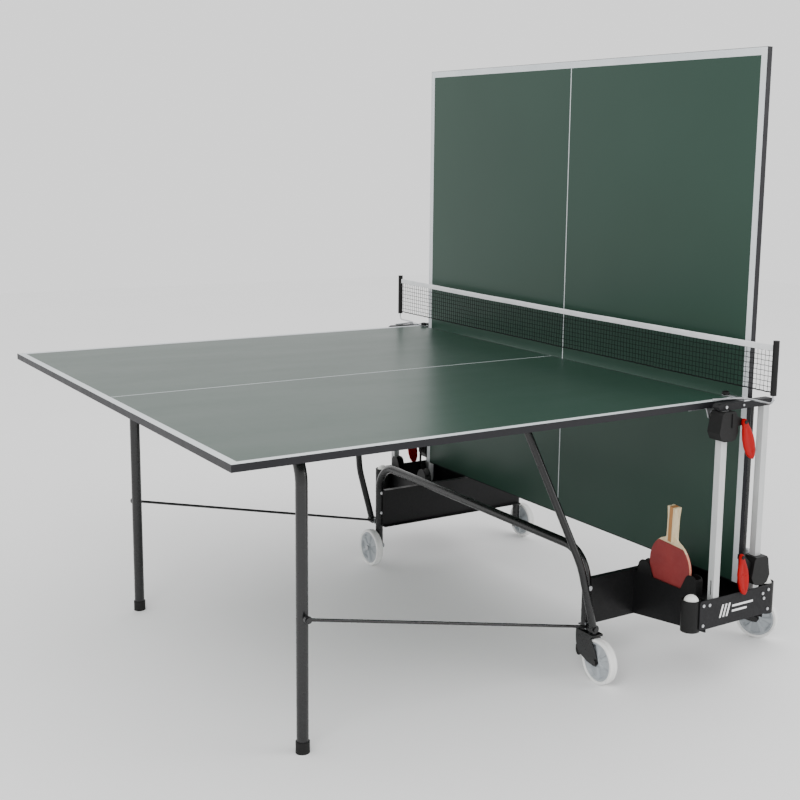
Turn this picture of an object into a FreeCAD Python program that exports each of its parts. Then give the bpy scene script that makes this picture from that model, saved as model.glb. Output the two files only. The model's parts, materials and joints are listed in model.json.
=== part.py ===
import FreeCAD, Part
import Sketcher
import math
import os
from FreeCAD import Vector, Placement, Rotation

# Compact folding table-tennis table, one half folded up for solo practice.
# Frame: +Z up, floor at z = 0. The net stands over the Y axis line, the
# playing half runs towards -X, the folded half stands on the +X side.
# The local origin of all geometry below is under the middle of the net;
# the cell "shift" moves it so that the origin is the middle of the footprint.

doc = FreeCAD.newDocument("table_tennis_table")
sheet = doc.addObject("Spreadsheet::Sheet", "Params")

CELLS = [
    ("shift", 511.27, "net line to middle of footprint"),
    ("boardlen", 1370.0, "one half, along the table"),
    ("boardwid", 1525.0, "one half, across the table"),
    ("boardthk", 16.0, "board thickness"),
    ("bandthk", 3.0, "edge band thickness"),
    ("playheight", 760.0, "playing surface above the floor"),
    ("edgegap", 2.0, "inner edge of a half to the net line"),
    ("pivotx", 73.0, "fold pivot to the net line"),
    ("pivotdrop", 30.0, "fold pivot below the playing surface"),
    ("travel", 398.0, "slider travel from play to storage"),
    ("posty", 790.0, "guide post centre line from the middle"),
    ("postside", 20.0, "guide post outside width"),
    ("postwall", 2.0, "guide post wall"),
    ("posttop", 752.0, "top end of the guide posts"),
    ("boxlow", 178.0, "underside of the storage box"),
    ("boxtop", 255.0, "top edge of the storage box"),
    ("boxhalf", 105.0, "half width of the storage box"),
    ("sheetthk", 2.5, "box sheet thickness"),
    ("wheelframex", 283.0, "wheel frame to the net line"),
    ("wheelframey", 540.0, "wheel frame leg to the middle"),
    ("wheelframetop", 340.0, "wheel frame cross tube height"),
    ("wheelframerad", 12.5, "wheel frame tube radius"),
    ("wheelframebend", 90.0, "wheel frame bend radius"),
    ("tubewall", 2.0, "wall of the round tubes"),
    ("castorlegend", 131.0, "lower end of the castor leg"),
    ("fixedlegend", 42.0, "lower end of the fixed wheel leg"),
    ("wheelrad", 60.0, "wheel radius with tyre"),
    ("hubrad", 51.0, "wheel disc radius"),
    ("wheelwid", 24.0, "tyre width"),
    ("legx", 1108.5, "leg hinge to the net line"),
    ("legy", 535.0, "leg centre line to the middle"),
    ("leghinge", 718.0, "leg hinge height in play"),
    ("legrad", 14.0, "leg tube radius"),
    ("legbend", 85.0, "leg tube bend radius"),
    ("strutpivotx", 444.0, "strut hinge to the net line"),
    ("strutpivotz", 719.0, "strut hinge height in play"),
    ("strutlen", 596.5, "strut hinge to its foot"),
    ("strutrad", 10.0, "strut tube radius"),
    ("strutfooty", 579.0, "strut foot to the middle"),
    ("footx", 289.0, "chassis pivot to the net line"),
    ("footz", 143.0, "chassis pivot height"),
    ("rody", 562.5, "stay rod to the middle"),
    ("rodrad", 4.0, "stay rod radius"),
    ("rodlen", 840.1, "stay rod between its pivots"),
    ("rodonleg", 390.0, "leg hinge to the stay rod pivot"),
    ("panely", 525.0, "side panel centre to the middle"),
    ("panelhalf", 280.0, "half length of a side panel"),
    ("panellow", 131.0, "side panel lower edge"),
    ("paneltop", 257.0, "side panel upper edge"),
    ("nettop", 912.5, "net height above the floor"),
    ("netlow", 795.0, "net lower edge above the floor"),
    ("netposty", 885.0, "net post centre to the middle"),
    ("netpostrad", 8.0, "net post radius"),
    ("pinrad", 5.0, "fold pin radius"),
    ("fit", 0.06, "radial running clearance of pins"),
    ("slidefit", 0.4, "slider to post clearance per side"),
]
VAL = {}
for i, (alias, value, note) in enumerate(CELLS, start=1):
    sheet.set("A%d" % i, alias)
    sheet.set("B%d" % i, str(value))
    sheet.setAlias("B%d" % i, alias)
    sheet.set("C%d" % i, note)
    VAL[alias] = value
doc.recompute()


class Q:
    """A number that also carries the sheet expression it comes from."""

    def __init__(self, v, e):
        self.v = float(v)
        self.e = e

    def _mk(self, o, op, rev=False):
        ov, oe = (o.v, o.e) if isinstance(o, Q) else (float(o), "%.6g" % o if o >= 0 else "(%.6g)" % o)
        a, b, ea, eb = (ov, self.v, oe, self.e) if rev else (self.v, ov, self.e, oe)
        r = {"+": a + b, "-": a - b, "*": a * b, "/": a / b if b else 0.0}[op]
        return Q(r, "(%s %s %s)" % (ea, op, eb))

    def __add__(self, o): return self._mk(o, "+")
    def __radd__(self, o): return self._mk(o, "+", True)
    def __sub__(self, o): return self._mk(o, "-")
    def __rsub__(self, o): return self._mk(o, "-", True)
    def __mul__(self, o): return self._mk(o, "*")
    def __rmul__(self, o): return self._mk(o, "*", True)
    def __truediv__(self, o): return self._mk(o, "/")
    def __neg__(self): return Q(-self.v, "(0 - %s)" % self.e)


def c(alias):
    return Q(VAL[alias], "Params." + alias)


def num(q):
    return q.v if isinstance(q, Q) else float(q)


def bind(obj, prop, q):
    if isinstance(q, Q):
        obj.setExpression(prop, q.e)


SERIAL = [0]


def fresh(base):
    SERIAL[0] += 1
    return "%s_%03d" % (base, SERIAL[0])


NODES = []


# ---------------------------------------------------------------- primitives
def box(x0, x1, y0, y1, z0, z1):
    o = doc.addObject("Part::Box", fresh("box"))
    for prop, a, b in (("Length", x0, x1), ("Width", y0, y1), ("Height", z0, z1)):
        d = b - a
        setattr(o, prop, num(d))
        bind(o, prop, d)
    o.Placement = Placement(Vector(num(x0), num(y0), num(z0)), Rotation())
    bind(o, ".Placement.Base.x", x0)
    bind(o, ".Placement.Base.y", y0)
    bind(o, ".Placement.Base.z", z0)
    return o


AXROT = {"z": Rotation(), "y": Rotation(Vector(1, 0, 0), -90), "x": Rotation(Vector(0, 1, 0), 90)}


def cyl(axis, x, y, z, r, length):
    """Cylinder that starts at x, y, z and runs along +axis."""
    o = doc.addObject("Part::Cylinder", fresh("cyl"))
    o.Radius = num(r)
    bind(o, "Radius", r)
    o.Height = num(length)
    bind(o, "Height", length)
    o.Placement = Placement(Vector(num(x), num(y), num(z)), AXROT[axis])
    bind(o, ".Placement.Base.x", x)
    bind(o, ".Placement.Base.y", y)
    bind(o, ".Placement.Base.z", z)
    return o


def sphere(x, y, z, r):
    o = doc.addObject("Part::Sphere", fresh("ball"))
    o.Radius = num(r)
    bind(o, "Radius", r)
    o.Placement = Placement(Vector(num(x), num(y), num(z)), Rotation())
    return o


def cut(base, *tools):
    o = base
    for tool in tools:
        k = doc.addObject("Part::Cut", fresh("cut"))
        k.Base = o
        k.Tool = tool
        o = k
    return o


def fuse(*parts):
    o = doc.addObject("Part::MultiFuse", fresh("fuse"))
    o.Shapes = list(parts)
    return o


# ---------------------------------------------------------------- bodies
def plane_of(body, role):
    for f in body.Origin.OriginFeatures:
        if f.Role == role:
            return f
    raise RuntimeError(role)


def new_sketch(body, role, offset=0.0):
    sk = body.newObject("Sketcher::SketchObject", fresh("sketch"))
    sk.AttachmentSupport = [(plane_of(body, role), "")]
    sk.MapMode = "FlatFace"
    sk.AttachmentOffset = Placement(Vector(0, 0, num(offset)), Rotation())
    bind(sk, ".AttachmentOffset.Base.z", offset)
    return sk


def pin_point(sk, geo, pos, x, y):
    for kind, q in (("DistanceX", x), ("DistanceY", y)):
        n = sk.addConstraint(Sketcher.Constraint(kind, -1, 1, geo, pos, num(q)))
        if isinstance(q, Q):
            sk.renameConstraint(n, "k%d" % n)
            sk.setExpression("Constraints.k%d" % n, q.e)


def polygon(sk, pts):
    first = sk.GeometryCount
    n = len(pts)
    for i in range(n):
        a, b = pts[i], pts[(i + 1) % n]
        sk.addGeometry(Part.LineSegment(Vector(num(a[0]), num(a[1]), 0), Vector(num(b[0]), num(b[1]), 0)), False)
    for i in range(n):
        sk.addConstraint(Sketcher.Constraint("Coincident", first + i, 2, first + (i + 1) % n, 1))
    for i in range(n):
        pin_point(sk, first + i, 1, pts[i][0], pts[i][1])


def circle(sk, x, y, r):
    g = sk.addGeometry(Part.Circle(Vector(num(x), num(y), 0), Vector(0, 0, 1), num(r)), False)
    pin_point(sk, g, 3, x, y)
    n = sk.addConstraint(Sketcher.Constraint("Radius", g, num(r)))
    if isinstance(r, Q):
        sk.renameConstraint(n, "k%d" % n)
        sk.setExpression("Constraints.k%d" % n, r.e)


def pad_body(role, loops, lo, hi, rounds=None):
    """A padded body. role gives the sketch plane; lo and hi are the two ends
    along the plane's own world axis. loops: lists of points or (x, y, r)."""
    body = doc.addObject("PartDesign::Body", fresh("body"))
    off = -hi if role == "XZ_Plane" else lo
    sk = new_sketch(body, role, off)
    for lp in loops:
        if isinstance(lp, tuple):
            circle(sk, *lp)
        else:
            polygon(sk, lp)
    pad = body.newObject("PartDesign::Pad", fresh("pad"))
    pad.Profile = sk
    d = hi - lo
    pad.Length = num(d)
    bind(pad, "Length", d)
    doc.recompute()
    if rounds:
        axis = {"XZ_Plane": Vector(0, 1, 0), "XY_Plane": Vector(0, 0, 1), "YZ_Plane": Vector(1, 0, 0)}[role]
        names = []
        for i, e in enumerate(pad.Shape.Edges, start=1):
            if isinstance(e.Curve, Part.Line) and abs(e.Curve.Direction.dot(axis)) > 0.999:
                names.append("Edge%d" % i)
        fl = body.newObject("PartDesign::Fillet", fresh("fillet"))
        fl.Base = (pad, names)
        fl.Radius = num(rounds)
        body.Tip = fl
        doc.recompute()
    return body


def edge_fillet(body, radius, pick):
    """Rounds the edges of a body's tip that pick(edge) accepts."""
    tip = body.Tip
    names = ["Edge%d" % i for i, e in enumerate(tip.Shape.Edges, start=1) if pick(e)]
    fl = body.newObject("PartDesign::Fillet", fresh("fillet"))
    fl.Base = (tip, names)
    fl.Radius = radius
    body.Tip = fl
    doc.recompute()
    return body


def revolve_body(pts):
    """Turned piece about its own Z axis; pts are (radius, height)."""
    body = doc.addObject("PartDesign::Body", fresh("body"))
    sk = new_sketch(body, "XZ_Plane")
    polygon(sk, pts)
    rev = body.newObject("PartDesign::Revolution", fresh("turn"))
    rev.Profile = sk
    rev.ReferenceAxis = (sk, ["V_Axis"])
    rev.Angle = 360.0
    doc.recompute()
    return body


def hoop_body(half, top, low_a, low_b, bend, rad, wall):
    """Bent tube like an upside-down U in the YZ plane: legs at y = -half and
    y = half, cross tube at z = top, leg ends at z = low_a and z = low_b."""
    body = doc.addObject("PartDesign::Body", fresh("body"))
    path = new_sketch(body, "YZ_Plane")
    h, t, b = num(half), num(top), num(bend)
    la, lb = num(low_a), num(low_b)
    path.addGeometry(Part.LineSegment(Vector(-h, la, 0), Vector(-h, t - b, 0)), False)
    path.addGeometry(Part.ArcOfCircle(Part.Circle(Vector(-h + b, t - b, 0), Vector(0, 0, 1), b), math.pi / 2, math.pi), False)
    path.addGeometry(Part.LineSegment(Vector(-h + b, t, 0), Vector(h - b, t, 0)), False)
    path.addGeometry(Part.ArcOfCircle(Part.Circle(Vector(h - b, t - b, 0), Vector(0, 0, 1), b), 0.0, math.pi / 2), False)
    path.addGeometry(Part.LineSegment(Vector(h, t - b, 0), Vector(h, lb, 0)), False)
    K = Sketcher.Constraint
    for con in (K("Tangent", 0, 2, 1, 2), K("Tangent", 1, 1, 2, 1), K("Tangent", 2, 2, 3, 2), K("Tangent", 3, 1, 4, 1),
                K("Vertical", 0), K("Horizontal", 2), K("Vertical", 4)):
        path.addConstraint(con)
    for g in (1, 3):
        n = path.addConstraint(K("Radius", g, b))
        path.renameConstraint(n, "bend%d" % g)
        bind(path, "Constraints.bend%d" % g, bend)
    pin_point(path, 0, 1, -half, low_a)
    pin_point(path, 4, 2, half, low_b)
    n = path.addConstraint(K("DistanceY", -1, 1, 2, 1, t))
    path.renameConstraint(n, "crest")
    bind(path, "Constraints.crest", top)
    prof = new_sketch(body, "XY_Plane", low_a)
    circle(prof, 0.0, -half, rad)
    circle(prof, 0.0, -half, rad - wall)
    doc.recompute()
    pipe = body.newObject("PartDesign::AdditivePipe", fresh("pipe"))
    pipe.Profile = prof
    pipe.Spine = (path, ["Edge%d" % i for i in range(1, 6)])
    doc.recompute()
    return body


# ---------------------------------------------------------------- frames
# A frame is (x, y, z, rotation) in the net-centred layout, x and z may be bound.
def frame_place(fr):
    x, y, z, rot = fr
    return Placement(Vector(num(x) + VAL["shift"], num(y), num(z)), rot)


def node(name, objs, fr):
    """Names a sub-part and puts it into its frame."""
    if len(objs) == 1 and objs[0].TypeId in ("PartDesign::Body", "Part::Cut", "Part::MultiFuse", "Part::Feature"):
        o = objs[0]
    else:
        o = doc.addObject("Part::Compound", fresh("group"))
        o.Links = list(objs)
    o.Placement = frame_place(fr)
    x = fr[0]
    o.setExpression(".Placement.Base.x", ("(%s + Params.shift)" % x.e) if isinstance(x, Q) else "(%.6g + Params.shift)" % x)
    bind(o, ".Placement.Base.z", fr[2])
    o.Label = name
    NODES.append(o)
    return o


def mul(fr, local, rot):
    """Frame carried by another one: local offset, then a further rotation."""
    p = Placement(Vector(num(fr[0]), num(fr[1]), num(fr[2])), fr[3]).multiply(Placement(Vector(*local), rot))
    return (p.Base.x, p.Base.y, p.Base.z, p.Rotation)


def ccw(deg):
    """Turn in the XZ plane from +X towards +Z."""
    return Rotation(Vector(0, -1, 0), deg)


ROOT = (0.0, 0.0, 0.0, Rotation())
TURN = Rotation(Vector(0, 0, 1), 180)

PX, PZ = c("pivotx"), c("playheight") - c("pivotdrop")
SLIDE_A = (-PX, 0.0, PZ, Rotation())
SLIDE_B = (PX, 0.0, PZ - c("travel"), TURN)
HALF_A = (-PX, 0.0, PZ, Rotation())
HALF_B = (PX, 0.0, PZ - c("travel"), Rotation(Vector(0, 1, 0), -90).multiply(TURN))

# --- linkage angles, play and storage, from the four-bar geometry
PZn, PXn = num(PZ), num(PX)
footA = (-VAL["footx"], VAL["footz"])
hingeQ = (-(VAL["strutpivotx"] - PXn), VAL["strutpivotz"] - PZn)
hingeT = (-(VAL["legx"] - PXn), VAL["leghinge"] - PZn)
storeP = PZn - VAL["travel"]


def folded(p):
    """Local point of the half, in storage, in the layout's XZ plane."""
    return (-PXn + p[1], storeP - p[0])


Qs = folded(hingeQ)
Ts = folded(hingeT)
strut_play = math.degrees(math.atan2(footA[1] - VAL["strutpivotz"], footA[0] + VAL["strutpivotx"]))
strut_store_world = math.degrees(math.atan2(footA[1] - Qs[1], footA[0] - Qs[0]))
strut_store = strut_store_world + 90.0
STRUT_TURN = (strut_store - strut_play + 180.0) % 360.0 - 180.0
# stay rod end in storage: meets the leg at rodonleg below its hinge
dx, dz = footA[0] - Ts[0], footA[1] - Ts[1]
dd = math.hypot(dx, dz)
r1, r2 = VAL["rodonleg"], VAL["rodlen"]
aa = (r1 * r1 - r2 * r2 + dd * dd) / (2 * dd)
hh = math.sqrt(max(r1 * r1 - aa * aa, 0.0))
Rs = (Ts[0] + aa * dx / dd + hh * dz / dd, Ts[1] + aa * dz / dd - hh * dx / dd)
if hh < 1e-6:
    Rs = (Ts[0] + r1 * dx / dd, Ts[1] + r1 * dz / dd)
leg_store = math.degrees(math.atan2(Rs[1] - Ts[1], Rs[0] - Ts[0])) + 90.0
LEG_TURN = (leg_store + 90.0 + 180.0) % 360.0 - 180.0
rod_play = math.degrees(math.atan2(VAL["leghinge"] - r1 - footA[1], -VAL["legx"] - footA[0]))
rod_store = math.degrees(math.atan2(Rs[1] - footA[1], Rs[0] - footA[0]))
print("strut local play %.3f store %.3f turn %.3f" % (strut_play, strut_store, STRUT_TURN))
print("leg local store %.3f turn %.3f" % (leg_store, LEG_TURN))
print("rod play %.3f store %.3f turn %.3f" % (rod_play, rod_store, rod_play - rod_store))
print("strut length play %.3f store %.3f" % (math.hypot(footA[0] + VAL["strutpivotx"], footA[1] - VAL["strutpivotz"]),
                                             math.hypot(footA[0] - Qs[0], footA[1] - Qs[1])))

T3 = (hingeT[0], 0.0, hingeT[1])
Q3 = (hingeQ[0], 0.0, hingeQ[1])
LEG_A = mul(HALF_A, T3, Rotation())
LEG_B = mul(HALF_B, T3, ccw(LEG_TURN))
STRUT_A = mul(HALF_A, Q3, ccw(strut_play + 90.0))
STRUT_B = mul(HALF_B, Q3, ccw(strut_play + 90.0 + STRUT_TURN))
ROD_A = (-c("footx"), 0.0, c("footz"), ccw(rod_play))
ROD_B = (c("footx"), 0.0, c("footz"), ccw(180.0 - rod_store))

# ================================================================ halves
for tag, HF in (("a", HALF_A), ("b", HALF_B)):
    inner = PX - c("edgegap")                 # inner edge, local x
    outer = inner - c("boardlen")
    top = c("pivotdrop") + 0.0
    low = top - c("boardthk")
    w = c("boardwid") / 2
    e = c("bandthk")
    board = pad_body("XY_Plane", [[(outer + e, -w + e), (inner - e, -w + e), (inner - e, w - e), (outer + e, w - e)]], low, top)
    node("board_" + tag, [board], HF)
    band = pad_body("XY_Plane", [[(outer, -w), (inner, -w), (inner, w), (outer, w)],
                                 [(outer + e, -w + e), (inner - e, -w + e), (inner - e, w - e), (outer + e, w - e)]], low, top)
    node("edge_band_" + tag, [band], HF)

    # steel hinge brackets under the inner corners, each with its fold pin
    br = []
    for s in (-1, 1):
        lo_, hi_ = (755.0, 759.0) if s > 0 else (-759.0, -755.0)
        cheek = pad_body("XZ_Plane", [[(-26.0, low), (-17.0, -12.0), (-9.0, -16.0), (9.0, -16.0), (17.0, -12.0), (22.0, low)],
                                      (0.0, 0.0, c("pinrad") + 0.02)], Q(lo_, "%g" % lo_) if lo_ > 0 else Q(lo_, "(%g)" % lo_),
                         Q(hi_, "%g" % hi_) if hi_ > 0 else Q(hi_, "(%g)" % hi_))
        flange = box(-83.0, 22.0, 715.0 if s > 0 else -755.0, 755.0 if s > 0 else -715.0, low - 3.0, low)
        br.append(fuse(cheek, flange))
    pins = []
    for s in (-1, 1):
        head = cyl("y", 0.0, 748.0 if s > 0 else -755.0, 0.0, 8.5, 7.0)
        pins.append(fuse(cyl("y", 0.0, 755.0 if s > 0 else -779.2, 0.0, c("pinrad"), 24.2), head))
    node("hinge_bracket_" + tag, br + pins, HF)

    # bearing blocks for the leg frame and for the strut frame
    lb = []
    for yy in (-390.0, -130.0, 130.0, 390.0):
        blk = pad_body("XZ_Plane", [[(T3[0] - 30.0, low), (T3[0] - 24.0, T3[2] - 14.0), (T3[0] - 12.0, T3[2] - 20.0),
                                     (T3[0] + 12.0, T3[2] - 20.0), (T3[0] + 24.0, T3[2] - 14.0), (T3[0] + 30.0, low)],
                                    (T3[0], T3[2], c("legrad") + c("fit"))], Q(yy - 20, "(%g)" % (yy - 20)), Q(yy + 20, "(%g)" % (yy + 20)))
        lb.append(blk)
    sb = []
    for yy in (-300.0, 0.0, 300.0):
        blk = pad_body("XZ_Plane", [[(Q3[0] - 24.0, low), (Q3[0] - 19.0, Q3[2] - 9.0), (Q3[0] - 9.0, Q3[2] - 15.0),
                                     (Q3[0] + 9.0, Q3[2] - 15.0), (Q3[0] + 19.0, Q3[2] - 9.0), (Q3[0] + 24.0, low)],
                                    (Q3[0], Q3[2], c("strutrad") + c("fit"))], Q(yy - 18, "(%g)" % (yy - 18)), Q(yy + 18, "(%g)" % (yy + 18)))
        sb.append(blk)
    node("frame_bearings_" + tag, lb + sb, HF)

# ================================================================ leg frames
for tag, LF in (("a", LEG_A), ("b", LEG_B)):
    legend = -(c("leghinge") - 4.0)
    hoop = hoop_body(c("legy"), Q(0.0, "0"), legend, legend, c("legbend"), c("legrad"), c("tubewall"))
    node("leg_frame_" + tag, [hoop], LF)
    feet = []
    for s in (-1, 1):
        outer_ = cyl("z", 0.0, c("legy") * s, -c("leghinge"), c("legrad") + 2.5, 28.0)
        bore = cyl("z", 0.0, c("legy") * s, -c("leghinge") + 4.0, c("legrad") + 0.05, 30.0)
        feet.append(cut(outer_, bore))
    node("leg_feet_" + tag, feet, LF)

# ================================================================ struts
def bent_tube(points, bends, rad, wall):
    """Round tube along straight runs joined by tangent arcs."""
    segs = []
    cur = points[0]
    for i in range(1, len(points) - 1):
        p, a, b = points[i], points[i - 1], points[i + 1]
        u = (a - p).normalize()
        v = (b - p).normalize()
        ang = u.getAngle(v)
        tl = bends[i - 1] / math.tan(ang / 2)
        s, e_ = p + u * tl, p + v * tl
        bis = (u + v).normalize()
        m = p + bis * (bends[i - 1] / math.sin(ang / 2) - bends[i - 1])
        segs.append(Part.makeLine(cur, s))
        segs.append(Part.Arc(s, m, e_).toShape())
        cur = e_
    segs.append(Part.makeLine(cur, points[-1]))
    wire = Part.Wire(segs)
    d = (points[1] - points[0]).normalize()
    out = []
    for r in ((rad,) if not wall else (rad, rad - wall)):
        prof = Part.Wire([Part.makeCircle(r, points[0], d)])
        out.append(wire.makePipeShell([prof], True, False))
    return out[0] if len(out) == 1 else out[0].cut(out[1])


for tag, SF in (("a", STRUT_A), ("b", STRUT_B)):
    L = sheet.get("strutlen")
    fy = sheet.get("strutfooty")
    pts = [Vector(0, -fy, -L + 6), Vector(0, -fy, -413.0), Vector(0, -436.0, 0), Vector(0, 436.0, 0),
           Vector(0, fy, -413.0), Vector(0, fy, -L + 6)]
    shp = bent_tube(pts, [160.0, 70.0, 70.0, 160.0], sheet.get("strutrad"), 1.8)
    tube = doc.addObject("Part::Feature", fresh("strut"))
    tube.Shape = shp
    bosses = []
    for s in (-1, 1):
        y0 = (c("strutfooty") - 9.0) if s > 0 else (-c("strutfooty") - 9.0)
        eye = cyl("y", 0.0, y0, -c("strutlen"), 12.0, 18.0)
        notch = cyl("z", 0.0, c("strutfooty") * s, -c("strutlen") + 6.0, c("strutrad") + 0.02, 30.0)
        head = cyl("y", 0.0, (c("strutfooty") + 9.0) if s > 0 else (-c("strutfooty") - 13.5), -c("strutlen"), 7.0, 4.5)
        bosses.append(cut(fuse(eye, head), notch))
    node("strut_frame_" + tag, [tube] + bosses, SF)

# ================================================================ stay rods
for tag, RF, flip in (("a", ROD_A, 1), ("b", ROD_B, 1)):
    rods, bolts = [], []
    for s in (-1, 1):
        y = c("rody") * s
        shaft = cyl("x", 0.0, y, 0.0, c("rodrad"), c("rodlen"))
        eye0 = cyl("y", 0.0, y - 4.5, 0.0, 9.0, 9.0)
        eye1 = cyl("y", c("rodlen"), y - 4.5, 0.0, 9.0, 9.0)
        hole = cyl("y", 0.0, y - 20.0, 0.0, c("rodrad") + c("fit"), 40.0)
        hole1 = cyl("y", c("rodlen"), y - 20.0, 0.0, c("rodrad") + 0.02, 40.0)
        rods.append(cut(fuse(shaft, eye0, eye1), hole, hole1))
        lo_ = (c("legy") + c("legrad") + 0.6) if s > 0 else (-c("rody") - 4.5)
        ln = (c("rody") + 4.5) - (c("legy") + c("legrad") + 0.6)
        st = cyl("y", c("rodlen"), lo_, 0.0, c("rodrad"), ln)
        hd = cyl("y", c("rodlen"), (c("rody") + 4.5) if s > 0 else (-c("rody") - 8.5), 0.0, 7.0, 4.0)
        bolts.append(fuse(st, hd))
    node("stay_rods_" + tag, rods + bolts, RF)

# ================================================================ chassis
BUSHES, PINS, BOLTS, HOLDERS, BALLS, BATHOLD, LOCKRODS, POSTS = [], [], [], [], [], [], [], []
for tag, s in (("a", -1), ("b", 1)):
    hoop = hoop_body(c("wheelframey"), c("wheelframetop"), c("castorlegend"), c("fixedlegend"),
                     c("wheelframebend"), c("wheelframerad"), c("tubewall"))
    hole = cyl("x", -20.0, c("wheelframey"), c("wheelrad"), 5.06, 40.0)
    node("wheel_frame_" + tag, [cut(hoop, hole)], (c("wheelframex") * s, 0.0, 0.0, Rotation()))
    plug = revolve_body([(5.6, -1.5), (12.5, -1.5), (12.5, 0.0), (10.4, 0.0), (10.4, 34.0), (5.6, 34.0)])
    plug.Placement = Placement(Vector(VAL["wheelframex"] * s, -VAL["wheelframey"], VAL["castorlegend"]), Rotation())
    BUSHES.append(plug)
    # fixed wheel axle bolt through the leg, head outside
    out_ = Rotation(Vector(0, 1, 0), 90) if s > 0 else Rotation(Vector(0, 1, 0), -90)
    axle = revolve_body([(0.0, -16.0), (8.0, -16.0), (8.0, -12.6), (5.0, -12.6), (5.0, 44.0), (8.0, 44.0), (8.0, 48.0), (0.0, 48.0)])
    axle.Placement = Placement(Vector(VAL["wheelframex"] * s, VAL["wheelframey"], VAL["wheelrad"]), out_)
    PINS.append(axle)
    wx = (c("wheelframex") + 30.0) * s
    for nm, fr in (("fixed_wheel_" + tag, (wx, VAL["wheelframey"], c("wheelrad"), out_)),):
        hub = revolve_body([(5.06, -13.0), (12.0, -13.0), (12.0, -8.0), (c("hubrad") - 6.0, -6.0), (c("hubrad") - 6.0, -10.0), (c("hubrad"), -10.0),
                            (c("hubrad"), 10.0), (c("hubrad") - 6.0, 10.0), (c("hubrad") - 6.0, 6.0), (12.0, 8.0), (12.0, 13.0), (5.06, 13.0)])
        node(nm, [hub], fr)
        w2 = c("wheelwid") / 2
        tyre = revolve_body([(c("hubrad"), -w2 + 2.0), (c("wheelrad") - 3.0, -w2), (c("wheelrad"), -w2 + 4.0), (c("wheelrad"), w2 - 4.0),
                             (c("wheelrad") - 3.0, w2), (c("hubrad"), w2 - 2.0)])
        node(nm.replace("wheel", "tyre"), [tyre], fr)

# castors at the near legs; the second one stands turned by 28 degrees
CAST = {"a": (-1, 0.0), "b": (1, 28.0)}
for tag in ("a", "b"):
    s, ang = CAST[tag]
    base = (c("wheelframex") * s, -VAL["wheelframey"], 0.0, Rotation(Vector(0, 0, 1), ang))
    trail = 62.0
    wr = VAL["wheelrad"]
    cheeks = []
    for sx in (-1, 1):
        pl = pad_body("YZ_Plane", [[(17.0, 128.6), (18.0, 116.0), (17.0, 96.0), (12.0, 78.0), (2.0, 66.0), (-30.0, 53.0), (-55.0, 49.0), (-67.0, 50.0),
                                    (-74.0, 60.0), (-70.0, 73.0), (-60.0, 92.0), (-49.0, 108.0), (-42.0, 118.0), (-42.0, 128.6)],
                                   (-trail, wr, 5.02), (8.0, 112.0, 3.02)], Q(13.6 if sx > 0 else -17.0, "(%g)" % (13.6 if sx > 0 else -17.0)),
                      Q(17.0 if sx > 0 else -13.6, "(%g)" % (17.0 if sx > 0 else -13.6)))
        cheeks.append(pl)
    crown = box(-17.0, 17.0, -52.0, 17.0, 122.6, 128.6)
    stem = cyl("z", 0.0, 0.0, 128.6, 5.5, 34.0)
    node("castor_fork_" + tag, [fuse(cheeks[0], cheeks[1], crown, stem)], base)
    axl = revolve_body([(0.0, -21.0), (7.5, -21.0), (7.5, -17.0), (5.0, -17.0), (5.0, 17.0), (7.5, 17.0), (7.5, 21.0), (0.0, 21.0)])
    wf = mul(base, (0.0, -trail, wr), Rotation(Vector(0, 1, 0), 90))
    axl.Placement = Placement(Vector(0.0, -trail, wr), Rotation(Vector(0, 1, 0), 90))
    hub = revolve_body([(5.06, -13.0), (12.0, -13.0), (12.0, -8.0), (c("hubrad") - 6.0, -6.0), (c("hubrad") - 6.0, -10.0), (c("hubrad"), -10.0),
                        (c("hubrad"), 10.0), (c("hubrad") - 6.0, 10.0), (c("hubrad") - 6.0, 6.0), (12.0, 8.0), (12.0, 13.0), (5.06, 13.0)])
    node("castor_wheel_" + tag, [hub], wf)
    w2 = c("wheelwid") / 2
    tyre = revolve_body([(c("hubrad"), -w2 + 2.0), (c("wheelrad") - 3.0, -w2), (c("wheelrad"), -w2 + 4.0), (c("wheelrad"), w2 - 4.0),
                         (c("wheelrad") - 3.0, w2), (c("hubrad"), w2 - 2.0)])
    node("castor_tyre_" + tag, [tyre], wf)
    # foot brake: ribbed shoe in front of the tyre that tips about a pin between the cheeks
    teeth = []
    for k in range(4):
        teeth += [(10.0, 5.0 - 8.0 * k), (13.0, 3.0 - 8.0 * k), (13.0, 1.0 - 8.0 * k), (10.0, -1.0 - 8.0 * k)]
    shoe = pad_body("YZ_Plane", [[(-2.0, -54.0), (-4.0, -30.0), (-6.0, -10.0), (-6.0, 5.0), (0.0, 9.0), (6.0, 9.0)] + teeth +
                                 [(10.0, -28.0), (13.0, -31.0), (13.5, -42.0), (12.0, -50.0), (7.0, -56.0), (1.0, -57.0)], (0.0, 0.0, 3.06)],
                    Q(-12.8, "(-12.8)"), Q(12.8, "12.8"))
    pf = mul(base, (0.0, 8.0, 112.0), Rotation())
    node("brake_pedal_" + tag, [shoe], pf)
    pin = cyl("x", -17.4, 8.0, 112.0, 3.0, 34.8)
    node("castor_hardware_" + tag, [axl, pin], base)

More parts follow.
